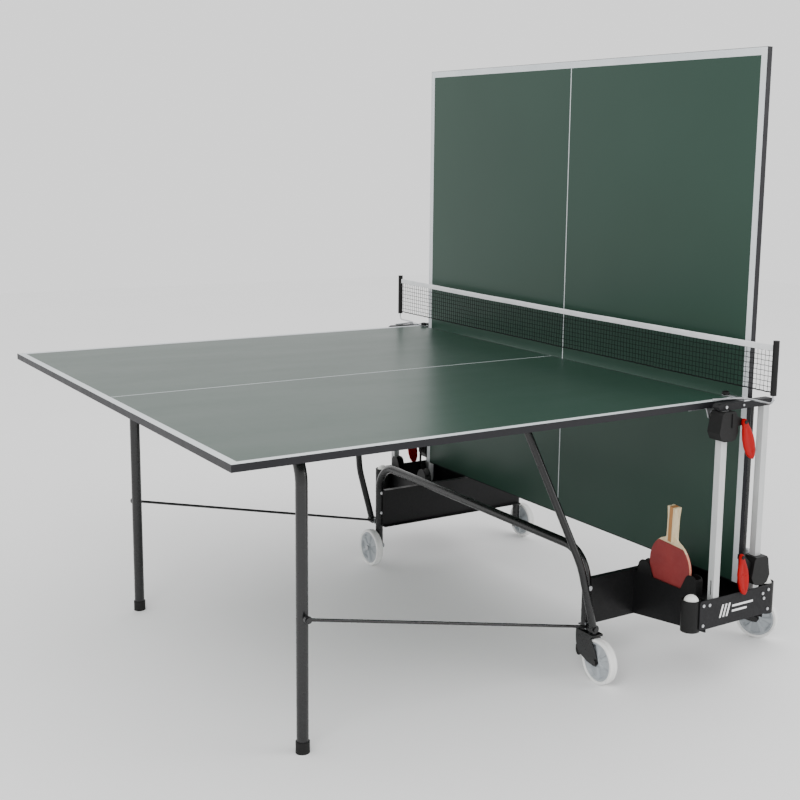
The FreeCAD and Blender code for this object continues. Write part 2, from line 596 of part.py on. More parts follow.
# side panels between the wheel frames, folded sheet with a lip top and bottom
for tag, s in (("near", -1), ("far", 1)):
    y = c("panely")
    t = c("sheetthk")
    a = y * s
    lipdir = -s
    if s < 0:
        prof = [(a, c("panellow")), (a, c("paneltop")), (a + 18.0, c("paneltop")), (a + 18.0, c("paneltop") - t), (a + t, c("paneltop") - t),
                (a + t, c("panellow") + t), (a + 18.0, c("panellow") + t), (a + 18.0, c("panellow"))]
    else:
        prof = [(a, c("panellow")), (a - 18.0, c("panellow")), (a - 18.0, c("panellow") + t), (a - t, c("panellow") + t),
                (a - t, c("paneltop") - t), (a - 18.0, c("paneltop") - t), (a - 18.0, c("paneltop")), (a, c("paneltop"))]
    panel = pad_body("YZ_Plane", [prof], -c("panelhalf"), c("panelhalf"))
    node("side_panel_" + tag, [panel], ROOT)
    bl = []
    for sx in (-1, 1):
        for z in (176.0, 244.0):
            bl.append(cyl("y", (c("wheelframex") * sx), (-c("wheelframey") - 12.5 - 3.0) if s < 0 else (c("wheelframey") + 12.5), z, 6.5, 3.0))
            bl.append(cyl("y", (c("wheelframex") * sx), (-c("wheelframey") + 12.5) if s < 0 else (c("wheelframey") - 12.5 - 2.5), z, 5.0, 2.5))
    BOLTS += bl

# storage boxes: floor and two walls from the side panel out to the end plate
for tag, s in (("near", -1), ("far", 1)):
    b = c("boxhalf")
    t = c("sheetthk")
    prof = [(-b, c("boxtop")), (-b, c("boxlow")), (b, c("boxlow")), (b, c("boxtop")), (b - t, c("boxtop")), (b - t, c("boxlow") + t),
            (-b + t, c("boxlow") + t), (-b + t, c("boxtop"))]
    lo, hi = (-c("posty") - 10.0, -c("panely")) if s < 0 else (c("panely"), c("posty") + 10.0)
    trough = pad_body("XZ_Plane", [prof], lo, hi)
    # the side walls reach lower towards the side panel
    skirts = []
    for sx in (-1, 1):
        ya, yb = VAL["panely"] * s, (VAL["posty"] + 10.0) * s
        sk = [(ya, 133.0), (yb, 168.0), (yb, 178.6), (ya, 178.6)]
        if s < 0:
            sk = sk[::-1]
        skirts.append(pad_body("YZ_Plane", [sk], (b - t) if sx > 0 else -b, b if sx > 0 else (t - b)))
    node("storage_box_" + tag, [fuse(trough, *skirts)], ROOT)
    # end plate, chamfered corners
    ylo, yhi = (-c("posty") - 13.0, -c("posty") - 10.0) if s < 0 else (c("posty") + 10.0, c("posty") + 13.0)
    x1 = 129.0
    zl, zh = c("boxlow"), c("boxtop")
    plate = pad_body("XZ_Plane", [[(-x1, zl + 4.0), (-x1 + 4.0, zl), (x1 - 4.0, zl), (x1, zl + 4.0), (x1, zh - 4.0), (x1 - 4.0, zh),
                                   (-x1 + 4.0, zh), (-x1, zh - 4.0)]], ylo, yhi)
    node("end_plate_" + tag, [plate], ROOT)
    heads = []
    for xx, zz in ((-118.0, 243.0), (-97.0, 241.0), (-118.0, 190.0), (118.0, 243.0), (97.0, 236.0), (102.0, 222.0), (118.0, 190.0)):
        heads.append(cyl("y", xx, (ylo - 2.4) if s < 0 else yhi, zz, 4.2, 2.4))
    BOLTS += heads
    # round ball holders at the corners, each with a web to the box wall
    tubes = []
    for sx in (-1, 1):
        cx, cy = 133.5 * sx, (c("posty") - 15.8) * s
        o_ = cyl("z", cx, cy, 172.0, 25.0, 83.0)
        i_ = cyl("z", cx, cy, 226.9, 22.6, 40.0)
        u_ = cyl("z", cx, cy, 170.0, 22.6, 54.0)
        web = box(105.0 if sx > 0 else -112.0, 112.0 if sx > 0 else -105.0, cy - 6.0, cy + 6.0, 180.0, 250.0)
        tubes.append(cut(fuse(o_, web), i_, u_))
    HOLDERS += tubes
    balls = []
    for sx in (-1, 1):
        balls.append(sphere(133.5 * sx, (VAL["posty"] - 15.8) * s, 247.0, 20.0))
    BALLS += balls
    # bat holder: saddle behind the wall that faces the playing half, a lug at each end stands above the rim
    y0, y1 = -760.0, -538.0
    lug1 = [(y0, 255.2), (-703.0, 255.2), (-722.0, 293.0), (-728.0, 299.0), (-735.0, 301.0), (-748.0, 301.0), (-755.0, 298.0), (y0, 289.0)]
    lug2 = [(-597.0, 255.2), (y1, 255.2), (-539.0, 272.0), (-544.0, 285.0), (-553.0, 293.0), (-566.0, 295.0), (-578.0, 291.0), (-587.0, 280.0)]
    if s > 0:
        lug1 = [(-py, pz) for py, pz in lug1][::-1]
        lug2 = [(-py, pz) for py, pz in lug2][::-1]
        y0, y1 = 538.0, 760.0
    saddle = box(-102.3, -81.0, y0, y1, 180.7, 255.2)
    lugs = [pad_body("YZ_Plane", [lg], Q(-105.0, "(-105)"), Q(-81.0, "(-81)")) for lg in (lug1, lug2)]
    slot_ = box(-102.5, -84.0, y0 + 3.0, y1 - 3.0, 221.0, 400.0)
    under = box(-99.5, -84.0, y0 + 3.0, y1 - 3.0, 170.0, 218.0)
    BATHOLD.append(cut(fuse(saddle, *lugs), slot_, under))

# bat stowed in the near holder: blade, rubber sheets and handle
BAT = (-96.2, -654.8, 302.8, Rotation(Vector(0, 1, 0), -2.0).multiply(Rotation(Vector(1, 0, 0), 4.0)))


def ring_pts(r, k0, k1, n):
    out = []
    for k in range(n):
        a_ = math.radians(k0 + (k1 - k0) * k / (n - 1))
        out.append((r * math.cos(a_), 1.04 * r * math.sin(a_)))
    return out


blade = pad_body("YZ_Plane", [ring_pts(75.0, 108.0, 432.0, 30) + [(12.0, 88.0), (11.0, 100.0), (-11.0, 100.0), (-12.0, 88.0)]],
                 Q(-3.0, "(-3)"), Q(3.0, "3"))
rub = [pad_body("YZ_Plane", [ring_pts(74.0, 128.0, 412.0, 28)], Q(lo_, "(%g)" % lo_), Q(hi_, "(%g)" % hi_)) for lo_, hi_ in ((-5.2, -3.0), (3.0, 5.2))]
node("bat_rubbers", rub, BAT)
grips = []
for sx in (-1, 1):
    lo_, hi_ = (3.0, 11.0) if sx > 0 else (-11.0, -3.0)
    grips.append(pad_body("YZ_Plane", [[(-12.0, 70.0), (12.0, 70.0), (11.0, 96.0), (11.4, 135.0), (14.5, 165.0), (-14.5, 165.0), (-11.4, 135.0), (-11.0, 96.0)]],
                          Q(lo_, "(%g)" % lo_), Q(hi_, "(%g)" % hi_)))
core = box(-3.0, 3.0, -11.0, 11.0, 100.0, 165.0)
node("bat_blade", [blade, core] + grips, BAT)

# guide posts, square tube, with the slot near the foot on the outer X face
for tag, s in (("near", -1), ("far", 1)):
    posts = []
    for nm, sx in (("a", -1), ("b", 1)):
        h_ = c("postside") / 2
        wl = c("postwall")
        x0 = PX * sx
        y0 = c("posty") * s
        zz0 = c("boxlow") + c("sheetthk")
        tube = pad_body("XY_Plane", [[(x0 - h_, y0 - h_), (x0 + h_, y0 - h_), (x0 + h_, y0 + h_), (x0 - h_, y0 + h_)],
                                     [(x0 - h_ + wl, y0 - h_ + wl), (x0 + h_ - wl, y0 - h_ + wl), (x0 + h_ - wl, y0 + h_ - wl), (x0 - h_ + wl, y0 + h_ - wl)]],
                        zz0, c("posttop"))
        slot = box((x0 - 12.0) if sx < 0 else (x0 + 6.0), (x0 - 6.0) if sx < 0 else (x0 + 12.0), y0 - 2.5, y0 + 2.5, 262.0, 300.0)
        posts.append(cut(tube, slot))
    POSTS += posts
    # bridge over the post tops
    y0 = c("posty") * s
    nose = [(-100.0, 752.0), (-94.0, 745.0), (-84.0, 742.0), (84.0, 742.0), (94.0, 745.0), (100.0, 752.0), (97.0, 757.0), (90.0, 760.0),
            (-90.0, 760.0), (-97.0, 757.0)]
    br_ = pad_body("XZ_Plane", [nose], y0 - 11.0, y0 + 11.0)
    socks = [box(PX * sx - 10.0, PX * sx + 10.0, y0 - 10.0, y0 + 10.0, 700.0, c("posttop")) for sx in (-1, 1)]
    rodh = [cyl("z", 33.0, y0, 700.0, 4.0, 50.0)]
    node("bridge_" + tag, [cut(br_, *(socks + rodh))], ROOT)
    BOLTS += [cyl("y", xx, (y0 - 13.2) if s < 0 else (y0 + 11.0), 751.0, rr, 2.2) for xx, rr in ((-73.0, 4.0), (-12.0, 2.8))]
    # thin lock rod beside the post of the folded half
    LOCKRODS += [cyl("z", 33.0, y0, c("boxlow") + c("sheetthk"), 4.0, 750.0 - (c("boxlow") + c("sheetthk")))]

# sliders: moulded housings round the posts, one pair per half
SLIDERS = {"a": [], "b": []}
for tag, SL in (("a", SLIDE_A), ("b", SLIDE_B)):
    for side, s in (("near", -1), ("far", 1)):
        if tag == "b":
            s = -s
        y0 = c("posty") * s
        ya, yb = (y0 - 25.0, y0 + 18.0) if s < 0 else (y0 - 18.0, y0 + 25.0)
        prof = [(-19.0, 11.0), (19.0, 11.0), (25.0, 4.0), (33.0, -42.0), (24.0, -60.0), (14.0, -64.0), (-14.0, -64.0), (-24.0, -60.0), (-33.0, -42.0), (-25.0, 4.0)]
        hs = pad_body("XZ_Plane", [prof], ya, yb)
        f_ = c("slidefit")
        bore = box(-10.0 - f_, 10.0 + f_, y0 - 10.0 - f_, y0 + 10.0 + f_, -100.0, 60.0)
        pinh = cyl("y", 0.0, (y0 - 30.0) if s > 0 else (y0 + 5.0), 0.0, c("pinrad") + c("fit"), 25.0)
        SLIDERS[tag].append(cut(hs, bore, pinh))

# release levers: leaf-shaped pulls hung on short arms of the sliders
def leaf():
    return [(-4.0, 7.0), (4.0, 7.0), (8.0, 0.0), (9.5, -12.0), (14.0, -26.0), (18.0, -44.0), (18.5, -64.0), (15.5, -84.0), (9.5, -98.0), (2.0, -104.0),
            (-2.0, -104.0), (-9.5, -98.0), (-15.5, -84.0), (-18.5, -64.0), (-18.0, -44.0), (-14.0, -26.0), (-9.5, -12.0), (-8.0, 0.0)]


for tag, SL in (("a", SLIDE_A), ("b", SLIDE_B)):
    for side, s in (("near", -1), ("far", 1)):
        # lever layer: the pulls of the two halves hang in different planes
        d0, d1 = (27.8, 37.8) if tag == "a" else (15.6, 24.6)
        lx, lz, lean = (44.0, -16.0, 19.0) if tag == "a" else (70.0, 21.0, -9.0)
        sl = s if tag == "a" else -s
        y0 = VAL["posty"] * sl
        ya, yb = (y0 - d1, y0 - d0) if sl < 0 else (y0 + d0, y0 + d1)
        lv = pad_body("XZ_Plane", [leaf(), (0.0, 0.0, 2.56)], Q(ya, "(%.4f)" % ya), Q(yb, "(%.4f)" % yb))
        lf = mul(SL, (lx, 0.0, lz), ccw(lean))
        node("release_lever_%s_%s" % (tag, side), [lv], lf)
        # arm plate and pin on the slider
        if tag == "a":
            pa, pb = (y0 - 27.2, y0 - 25.0) if sl < 0 else (y0 + 25.0, y0 + 27.2)
            arm = pad_body("XZ_Plane", [[(8.0, 6.0), (40.0, -8.0), (51.0, -12.0), (51.0, -20.0), (40.0, -25.0), (8.0, -30.0)]],
                           Q(pa, "(%.4f)" % pa), Q(pb, "(%.4f)" % pb))
        else:
            pa, pb = (y0 - 14.9, y0 - 11.5) if sl < 0 else (y0 + 11.5, y0 + 14.9)
            arm = pad_body("XZ_Plane", [[(27.8, -3.0), (64.0, 28.0), (76.0, 28.0), (77.0, 16.0), (66.0, 12.0), (33.6, -38.0), (33.2, -42.0)]],
                           Q(pa, "(%.4f)" % pa), Q(pb, "(%.4f)" % pb))
        st0 = pb if sl < 0 else pa
        pin_lo = (ya - 2.4) if sl < 0 else pa
        pin_hi = pb if sl < 0 else (yb + 2.4)
        pinl = cyl("y", lx, pin_lo, lz, 2.5, pin_hi - pin_lo)
        cap = cyl("y", lx, (ya - 2.4) if sl < 0 else (yb + 0.3), lz, 5.0, 2.1)
        k_ = 0 if side == "near" else 1
        SLIDERS[tag][k_] = fuse(SLIDERS[tag][k_], arm, pinl, cap)
    node("slider_" + tag, SLIDERS[tag], SL)

# chassis pivots: a saddle plate and stub pin on each wheel frame leg
sad = []
for sx in (-1, 1):
    for s in (-1, 1):
        x = c("footx") * sx
        yy = c("wheelframey") + 12.5
        pl = box(x - 12.0 if sx > 0 else x - 6.0, x + 6.0 if sx > 0 else x + 12.0, yy if s > 0 else -yy - 3.0, yy + 3.0 if s > 0 else -yy, c("footz") - 9.0, c("footz") + 9.0)
        pn = cyl("y", x, yy if s > 0 else -yy - 15.0, c("footz"), c("rodrad"), 15.0)
        sad.append(fuse(pl, pn))
node("chassis_pins", sad + PINS, ROOT)
node("guide_posts", POSTS, ROOT)
node("castor_bushes", BUSHES, ROOT)
node("chassis_bolts", BOLTS, ROOT)
node("ball_holders", HOLDERS, ROOT)
node("balls", BALLS, ROOT)
node("bat_holders", BATHOLD, ROOT)
node("lock_rods", LOCKRODS, ROOT)

# ================================================================ net
H = c("netposty")
netposts = [cyl("z", 0.0, H * s, 788.0, c("netpostrad"), 136.0) for s in (-1, 1)]
node("net_mesh", [box(-0.8, 0.8, -H + 8.3, H - 8.3, c("netlow"), c("nettop") - 15.0)], ROOT)
node("net_tape", [box(-2.2, 2.2, -H + 8.3, H - 8.3, c("nettop") - 15.0, c("nettop"))], ROOT)
wires = []
for s in (-1, 1):
    y_ = sheet.get("netposty") * s
    w_ = bent_tube([Vector(0, y_, 788.0), Vector(0, y_, 766.4), Vector(0, 793.0 * s, 766.4), Vector(-90.0, 768.5 * s, 766.4)], [12.0, 14.0], 2.5, 0)
    f0 = doc.addObject("Part::Feature", fresh("wire"))
    f0.Shape = w_
    wires.append(f0)
cl = []
for s in (-1, 1):
    if s > 0:
        cl.append(fuse(box(-11.0, 11.0, 764.0, 802.0, 760.0, 763.8), box(-1.2, 11.0, 714.0, 764.0, 760.8, 763.8)))
    else:
        cl.append(fuse(box(-11.0, 11.0, -802.0, -764.0, 760.0, 763.8), box(-1.2, 11.0, -764.0, -714.0, 760.8, 763.8)))
node("net_brackets", wires + cl, ROOT)
kn = []
for s in (-1, 1):
    k_ = revolve_body([(0.0, 0.0), (9.0, 0.0), (10.0, 2.0), (9.0, 8.0), (5.0, 9.5), (0.0, 9.5)])
    k_.Placement = Placement(Vector(0, 726.0 * s, 763.8), Rotation())
    kn.append(k_)
node("net_posts", netposts + kn, ROOT)

# ================================================================ checks and export
doc.recompute()
bad = []
for o in doc.Objects:
    st = [x for x in o.State if x in ("Invalid", "Error")]
    if st:
        bad.append((o.Name, o.Label, o.State))
for o in NODES:
    if o.Shape.isNull() or not o.Shape.isValid() or not o.Shape.Solids:
        bad.append((o.Name, o.Label, "shape"))
if bad:
    for b_ in bad:
        print("FAILED", b_)
    raise SystemExit(1)

os.makedirs("parts", exist_ok=True)
allbox = FreeCAD.BoundBox()
for o in NODES:
    o.Shape.exportStep("parts/%s.step" % o.Label)
    allbox.add(o.Shape.BoundBox)
print("nodes", len(NODES), "solids", sum(len(o.Shape.Solids) for o in NODES))
print("box", [round(v, 2) for v in (allbox.XMin, allbox.YMin, allbox.ZMin, allbox.XMax, allbox.YMax, allbox.ZMax)])
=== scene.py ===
import bpy
import bmesh
import json
import math
import random
from mathutils import Vector, Matrix


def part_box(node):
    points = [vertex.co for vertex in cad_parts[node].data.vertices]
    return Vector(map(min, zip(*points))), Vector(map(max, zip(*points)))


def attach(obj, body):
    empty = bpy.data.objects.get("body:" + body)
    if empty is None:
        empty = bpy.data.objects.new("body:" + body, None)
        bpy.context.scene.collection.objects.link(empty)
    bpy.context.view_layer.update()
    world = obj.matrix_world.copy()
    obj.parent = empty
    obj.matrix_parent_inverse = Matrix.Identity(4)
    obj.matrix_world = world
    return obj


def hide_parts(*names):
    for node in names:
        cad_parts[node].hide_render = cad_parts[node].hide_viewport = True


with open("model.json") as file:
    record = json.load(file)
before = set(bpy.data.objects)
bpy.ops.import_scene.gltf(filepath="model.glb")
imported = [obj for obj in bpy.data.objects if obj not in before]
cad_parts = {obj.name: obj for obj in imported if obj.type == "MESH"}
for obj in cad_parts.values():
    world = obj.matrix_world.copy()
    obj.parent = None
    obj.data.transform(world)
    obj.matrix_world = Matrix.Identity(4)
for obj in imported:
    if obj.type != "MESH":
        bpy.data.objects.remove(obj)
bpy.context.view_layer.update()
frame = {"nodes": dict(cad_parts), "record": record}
NODES = frame["nodes"]
random.seed(7)

# ------------------------------------------------------------------ layout
(ALO, AHI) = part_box("edge_band_a")
(BLO, BHI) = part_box("edge_band_b")
PLO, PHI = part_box("guide_posts")
NETX = (PLO[0] + PHI[0]) / 2                     # the net stands over this line
TOP = AHI[2]                                     # playing surface
SURF_B = BLO[0]                                  # playing surface of the folded half
WID = AHI[1] - ALO[1]


# ------------------------------------------------------------------ materials
def new_mat(name):
    m = bpy.data.materials.new(name)
    m.use_nodes = True
    nt = m.node_tree
    for n in list(nt.nodes):
        nt.nodes.remove(n)
    out = nt.nodes.new("ShaderNodeOutputMaterial")
    b = nt.nodes.new("ShaderNodeBsdfPrincipled")
    nt.links.new(b.outputs[0], out.inputs[0])
    return m, nt, b


def coords(nt, scale=(1, 1, 1)):
    tc = nt.nodes.new("ShaderNodeTexCoord")
    mp = nt.nodes.new("ShaderNodeMapping")
    mp.inputs["Scale"].default_value = scale
    nt.links.new(tc.outputs["Object"], mp.inputs["Vector"])
    return mp.outputs["Vector"]


def noise(nt, vec, scale, detail=4.0, rough=0.55):
    n = nt.nodes.new("ShaderNodeTexNoise")
    n.inputs["Scale"].default_value = scale
    n.inputs["Detail"].default_value = detail
    n.inputs["Roughness"].default_value = rough
    nt.links.new(vec, n.inputs["Vector"])
    return n.outputs["Fac"]


def ramp(nt, fac, stops):
    r = nt.nodes.new("ShaderNodeValToRGB")
    e = r.color_ramp.elements
    while len(e) < len(stops):
        e.new(0.5)
    for el, (p, c) in zip(e, stops):
        el.position = p
        el.color = (c[0], c[1], c[2], 1.0) if hasattr(c, "__len__") else (c, c, c, 1.0)
    nt.links.new(fac, r.inputs["Fac"])
    return r.outputs["Color"]


def maprange(nt, v, a, b, c, d):
    m = nt.nodes.new("ShaderNodeMapRange")
    for k, x in zip(("From Min", "From Max", "To Min", "To Max"), (a, b, c, d)):
        m.inputs[k].default_value = x
    nt.links.new(v, m.inputs["Value"])
    return m.outputs["Result"]


def bump(nt, b, height, strength, dist, normal=None):
    n = nt.nodes.new("ShaderNodeBump")
    n.inputs["Strength"].default_value = strength
    n.inputs["Distance"].default_value = dist
    nt.links.new(height, n.inputs["Height"])
    if normal is not None:
        nt.links.new(normal, n.inputs["Normal"])
    nt.links.new(n.outputs["Normal"], b.inputs["Normal"])
    return n.outputs["Normal"]


def edge_wear(nt, amount_from=0.53, amount_to=0.62):
    g = nt.nodes.new("ShaderNodeNewGeometry")
    return maprange(nt, g.outputs["Pointiness"], amount_from, amount_to, 0.0, 1.0)


def mixcol(nt, fac, a, b):
    m = nt.nodes.new("ShaderNodeMix")
    m.data_type = "RGBA"
    nt.links.new(fac, m.inputs["Factor"])
    for sock, v in ((m.inputs["A"], a), (m.inputs["B"], b)):
        if hasattr(v, "is_output"):
            nt.links.new(v, sock)
        else:
            sock.default_value = (v[0], v[1], v[2], 1.0)
    return m.outputs["Result"]


def surface(name, dark, light, rlo, rhi, metal=0.0, blot=6.0, grain=900.0, gstr=0.08, gdist=0.0002, spec=0.5, coat=0.0,
            coat_rough=0.1, wear=None, stretch=(1, 1, 1), sheen=0.0):
    """Colour that drifts between two tones, roughness that drifts too, and a fine bump."""
    m, nt, b = new_mat(name)
    v = coords(nt, stretch)
    big = noise(nt, v, blot, 5.0)
    fine = noise(nt, v, grain, 3.0, 0.6)
    col = ramp(nt, big, [(0.30, dark), (0.72, light)])
    if wear is not None:
        w = edge_wear(nt)
        spots = noise(nt, v, 140.0, 3.0)
        mul = nt.nodes.new("ShaderNodeMath")
        mul.operation = "MULTIPLY"
        nt.links.new(w, mul.inputs[0])
        nt.links.new(spots, mul.inputs[1])
        col = mixcol(nt, mul.outputs[0], col, wear)
    nt.links.new(col, b.inputs["Base Color"])
    add = nt.nodes.new("ShaderNodeMath")
    add.operation = "ADD"
    sm = noise(nt, v, blot * 9.0, 4.0)
    nt.links.new(big, add.inputs[0])
    nt.links.new(sm, add.inputs[1])
    nt.links.new(maprange(nt, add.outputs[0], 0.6, 1.4, rlo, rhi), b.inputs["Roughness"])
    b.inputs["Metallic"].default_value = metal
    b.inputs["Specular IOR Level"].default_value = spec
    b.inputs["Coat Weight"].default_value = coat
    b.inputs["Coat Roughness"].default_value = coat_rough
    b.inputs["Sheen Weight"].default_value = sheen
    bump(nt, b, fine, gstr, gdist)
    return m


M = {}
M["black_paint"] = surface("black_powder_coat", (0.0030, 0.0032, 0.0034), (0.0060, 0.0062, 0.0064), 0.20, 0.33, blot=9, grain=1600, gstr=0.10,
                           gdist=0.0002, spec=0.42, coat=0.15, coat_rough=0.12, wear=(0.014, 0.014, 0.015))
M["black_sheet"] = surface("black_sheet_steel", (0.0022, 0.0022, 0.0023), (0.0045, 0.0045, 0.0046), 0.32, 0.48, blot=5, grain=1300, gstr=0.14,
                           gdist=0.00025, spec=0.19, wear=(0.014, 0.014, 0.015))
M["anthracite_plate"] = surface("anthracite_plate", (0.0042, 0.0040, 0.0048), (0.0072, 0.0068, 0.0078), 0.42, 0.56, blot=7, grain=1500, gstr=0.14,
                                gdist=0.00025, spec=0.16, wear=(0.022, 0.022, 0.024))
M["edge_trim"] = surface("edge_trim", (0.0050, 0.0048, 0.0066), (0.0090, 0.0086, 0.0112), 0.36, 0.52, blot=4, grain=900, gstr=0.12,
                         gdist=0.0002, spec=0.26, wear=(0.012, 0.012, 0.015))
M["black_plastic"] = surface("black_moulded_plastic", (0.0030, 0.0030, 0.0030), (0.0060, 0.0060, 0.0060), 0.38, 0.56, blot=11, grain=2600, gstr=0.32,
                             gdist=0.00025, spec=0.22, wear=(0.010, 0.010, 0.010))
M["black_rubber"] = surface("black_rubber", (0.005, 0.005, 0.005), (0.011, 0.011, 0.0105), 0.62, 0.82, blot=20, grain=1800, gstr=0.35, gdist=0.0003, spec=0.28)
M["zinc_steel"] = surface("zinc_steel", (0.44, 0.45, 0.47), (0.62, 0.63, 0.64), 0.24, 0.42, metal=0.9, blot=26, grain=1100, gstr=0.10, gdist=0.0001)
M["silver_tube"] = surface("silver_lacquered_tube", (0.40, 0.42, 0.42), (0.47, 0.49, 0.487), 0.30, 0.42, metal=0.25, blot=8, grain=1400, gstr=0.08,
                           gdist=0.00015, coat=0.2, stretch=(1, 1, 0.12), wear=(0.60, 0.60, 0.60))
M["grey_plastic"] = surface("grey_wheel_plastic", (0.34, 0.37, 0.395), (0.42, 0.445, 0.465), 0.30, 0.44, blot=16, grain=1800, gstr=0.14, gdist=0.0002,
                            spec=0.5)
M["grey_rubber"] = surface("grey_tyre", (0.80, 0.80, 0.785), (0.88, 0.88, 0.865), 0.48, 0.66, blot=30, grain=2200, gstr=0.2, gdist=0.0002, spec=0.4)
M["white_plastic"] = surface("ball_celluloid", (0.82, 0.82, 0.79), (0.90, 0.90, 0.875), 0.34, 0.46, blot=30, grain=2600, gstr=0.06, gdist=0.0001)
M["white_paint"] = surface("white_line_paint", (0.60, 0.64, 0.665), (0.70, 0.73, 0.75), 0.34, 0.50, blot=7, grain=1500, gstr=0.2, gdist=0.0002)
M["print_white"] = surface("white_print", (0.78, 0.78, 0.79), (0.86, 0.86, 0.86), 0.40, 0.55, blot=22, grain=1600, gstr=0.2, gdist=0.0002)


def red_plastic():
    m, nt, b = new_mat("red_glossy_plastic")
    v = coords(nt)
    big = noise(nt, v, 24.0, 4.0)
    col = ramp(nt, big, [(0.3, (0.30, 0.0006, 0.0014)), (0.72, (0.36, 0.0012, 0.0022))])
    nt.links.new(col, b.inputs["Base Color"])
    nt.links.new(maprange(nt, noise(nt, v, 60.0, 2.0), 0.3, 0.7, 0.27, 0.31), b.inputs["Roughness"])
    b.inputs["Subsurface Weight"].default_value = 0.0
    b.inputs["Specular IOR Level"].default_value = 0.14
    bump(nt, b, noise(nt, v, 900.0, 2.0), 0.03, 0.0001)
    return m


M["red_plastic"] = red_plastic()


def table_paint():
    """Rolled satin enamel: a very fine orange peel, faint roller bands and a few dull ball marks."""
    m, nt, b = new_mat("green_playing_surface")
    v = coords(nt)
    peel = noise(nt, v, 420.0, 3.0, 0.5)
    band = noise(nt, coords(nt, (0.8, 3.0, 0.8)), 3.0, 2.0)
    cloud = noise(nt, v, 1.6, 3.0)
    scuff = noise(nt, v, 34.0, 6.0, 0.7)
    col = ramp(nt, cloud, [(0.28, (0.0178, 0.0470, 0.0325)), (0.75, (0.0215, 0.0545, 0.0382))])
    col = mixcol(nt, maprange(nt, scuff, 0.56, 0.80, 0.0, 0.05), col, (0.040, 0.066, 0.054))
    nt.links.new(col, b.inputs["Base Color"])
    r = nt.nodes.new("ShaderNodeMath")
    r.operation = "ADD"
    nt.links.new(maprange(nt, band, 0.3, 0.7, 0.320, 0.350), r.inputs[0])
    nt.links.new(maprange(nt, scuff, 0.5, 0.8, 0.0, 0.02), r.inputs[1])
    nt.links.new(r.outputs[0], b.inputs["Roughness"])
    b.inputs["Specular IOR Level"].default_value = 0.27
    bump(nt, b, peel, 0.05, 0.0003)
    return m


M["table_top"] = table_paint()


def bat_rubber():
    m, nt, b = new_mat("bat_red_rubber")
    v = coords(nt)
    vor = nt.nodes.new("ShaderNodeTexVoronoi")
    vor.inputs["Scale"].default_value = 520.0
    vor.inputs["Randomness"].default_value = 0.12
    nt.links.new(v, vor.inputs["Vector"])
    col = ramp(nt, noise(nt, v, 14.0, 4.0), [(0.3, (0.185, 0.016, 0.016)), (0.72, (0.235, 0.024, 0.023))])
    nt.links.new(col, b.inputs["Base Color"])
    nt.links.new(maprange(nt, noise(nt, v, 60.0, 3.0), 0.3, 0.7, 0.52, 0.68), b.inputs["Roughness"])
    bump(nt, b, vor.outputs["Distance"], 0.35, 0.0003)
    return m


M["red_rubber"] = bat_rubber()


BAT_C = Vector((NETX - 0.0962, -0.6548, 0.3028))
BAT_R = Matrix.Rotation(math.radians(-2.0), 3, "Y") @ Matrix.Rotation(math.radians(4.0), 3, "X")


def wood():
    """Pale ply blade, handle in three glued strips (cream, brown, cream), rosy edge tape round the blade."""
    m, nt, b = new_mat("bat_wood")
    tc = nt.nodes.new("ShaderNodeTexCoord")
    mp = nt.nodes.new("ShaderNodeMapping")
    mp.vector_type = "TEXTURE"
    mp.inputs["Location"].default_value = BAT_C
    mp.inputs["Rotation"].default_value = BAT_R.to_euler("XYZ")
    nt.links.new(tc.outputs["Object"], mp.inputs["Vector"])
    sep = nt.nodes.new("ShaderNodeSeparateXYZ")
    nt.links.new(mp.outputs["Vector"], sep.inputs[0])
    st = nt.nodes.new("ShaderNodeMapping")
    st.inputs["Scale"].default_value = (3.0, 14.0, 0.8)
    nt.links.new(mp.outputs["Vector"], st.inputs["Vector"])
    grain = noise(nt, st.outputs["Vector"], 34.0, 5.0, 0.6)
    pale = ramp(nt, grain, [(0.3, (0.58, 0.46, 0.27)), (0.7, (0.72, 0.61, 0.40))])
    brown = ramp(nt, grain, [(0.3, (0.30, 0.125, 0.035)), (0.7, (0.43, 0.20, 0.065))])
    ab = nt.nodes.new("ShaderNodeMath")
    ab.operation = "ABSOLUTE"
    nt.links.new(sep.outputs["Y"], ab.inputs[0])
    strip = maprange(nt, ab.outputs[0], 0.0062, 0.0068, 1.0, 0.0)
    up = maprange(nt, sep.outputs["Z"], 0.0690, 0.0705, 0.0, 1.0)
    mul = nt.nodes.new("ShaderNodeMath")
    mul.operation = "MULTIPLY"
    nt.links.new(strip, mul.inputs[0])
    nt.links.new(up, mul.inputs[1])
    col = mixcol(nt, mul.outputs[0], pale, brown)
    # the blade's rim: away from the handle and near the outline radius
    ln = nt.nodes.new("ShaderNodeVectorMath")
    ln.operation = "LENGTH"
    sc = nt.nodes.new("ShaderNodeMapping")
    sc.inputs["Scale"].default_value = (0.0, 1.0, 1.0 / 1.04)
    nt.links.new(mp.outputs["Vector"], sc.inputs["Vector"])
    nt.links.new(sc.outputs["Vector"], ln.inputs[0])
    rim = maprange(nt, ln.outputs["Value"], 0.0735, 0.0742, 0.0, 1.0)
    low = maprange(nt, sep.outputs["Z"], 0.048, 0.054, 1.0, 0.0)
    m2 = nt.nodes.new("ShaderNodeMath")
    m2.operation = "MULTIPLY"
    nt.links.new(rim, m2.inputs[0])
    nt.links.new(low, m2.inputs[1])
    col = mixcol(nt, m2.outputs[0], col, (0.60, 0.24, 0.155))
    nt.links.new(col, b.inputs["Base Color"])
    nt.links.new(maprange(nt, grain, 0.3, 0.7, 0.40, 0.54), b.inputs["Roughness"])
    bump(nt, b, grain, 0.12, 0.0003)
    return m


M["bat_wood"] = wood()


